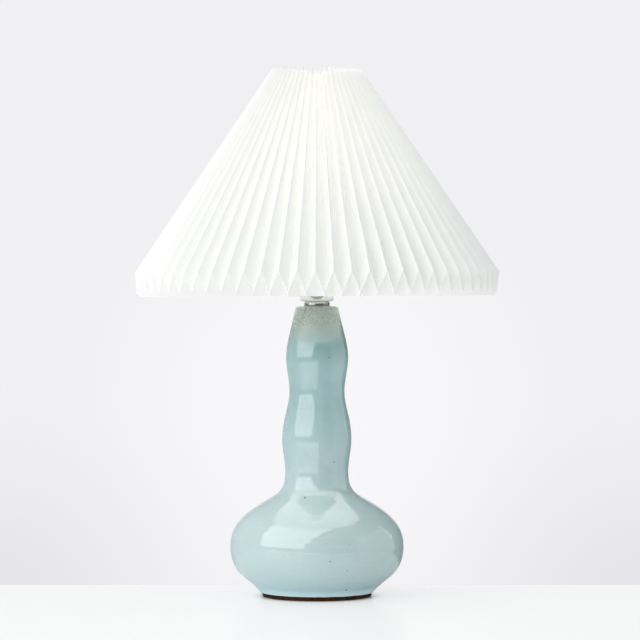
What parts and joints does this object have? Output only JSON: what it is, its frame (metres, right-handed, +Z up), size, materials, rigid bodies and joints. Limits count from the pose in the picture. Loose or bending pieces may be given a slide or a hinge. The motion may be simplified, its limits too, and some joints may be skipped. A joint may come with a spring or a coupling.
{
  "type": "table lamp",
  "caption": "Table lamp with a celadon-glazed stoneware double-gourd base, a white screw lampholder with a push button, and a pleated white conical shade on a wire carrier.",
  "frame": {"origin": "centre of the foot's standing plane", "axes": "+Z up along the lamp's axis; -Y is the front, where the lampholder's push button is; the cord inlet is at +Y"},
  "size_m": [0.3796, 0.38, 0.5496],
  "materials": {
    "celadon_stoneware": "glossy light blue celadon glaze over stoneware, bare dark foot ring, thin matt glaze at the neck",
    "chrome": "polished",
    "white_plastic": "glossy moulded",
    "grey_plastic": "satin moulded",
    "black_plastic": "moulded",
    "zinc_steel": "zinc plated",
    "rubber": "matt",
    "porcelain": "unglazed technical porcelain",
    "brass": "bare strip",
    "white_wire": "white powder coat",
    "pleated_sheet": "coated white lampshade paper, matt",
    "opal_glass": "opal",
    "aluminium": "rolled thread",
    "black_glass": "vitrified insulator",
    "solder": "dull solder"
  },
  "bodies": {
    "base": {"stoneware_body": "celadon_stoneware", "cord_bushing": "white_plastic", "neck_gasket": "rubber", "neck_collar": "chrome", "clamp_bar": "zinc_steel", "lock_washer": "zinc_steel", "nipple_nut": "brass", "threaded_nipple": "zinc_steel", "holder_cap": "white_plastic", "cap_lock_screw": "zinc_steel", "switch_block": "black_plastic", "holder_core": "porcelain", "terminal_screws": "brass", "centre_contact": "brass", "screw_shell": "brass", "side_contact": "brass", "holder_sleeve": "white_plastic", "shade_ring_lower": "white_plastic", "shade_ring_upper": "white_plastic"},
    "carrier": {"carrier_hub": "white_wire", "carrier_arms": "white_wire", "carrier_top_ring": "white_wire"},
    "shade": {"pleated_shade": "pleated_sheet"},
    "bulb": {"bulb_glass": "opal_glass", "bulb_screw_cap": "aluminium", "bulb_insulator": "black_glass", "bulb_contact": "solder"},
    "button": {"switch_button": "grey_plastic"}
  },
  "joints": [
    {"name": "carrier_turn", "type": "hinge", "parent": "base", "child": "carrier", "pos_m": [0, 0, 0.347], "axis": [0, 0, 1], "continuous": true},
    {"name": "shade_lift", "type": "slide", "parent": "carrier", "child": "shade", "axis": [0, 0, 1], "range_m": [0, 0.06]},
    {"name": "bulb_lift", "type": "slide", "parent": "base", "child": "bulb", "axis": [0, 0, 1], "range_m": [0, 0.03]},
    {"name": "button_press", "type": "slide", "parent": "base", "child": "button", "axis": [0, 1, 0], "range_m": [0, 0.0025], "stiffness_N_per_m": 900, "springref_m": -0.0005}
  ]
}
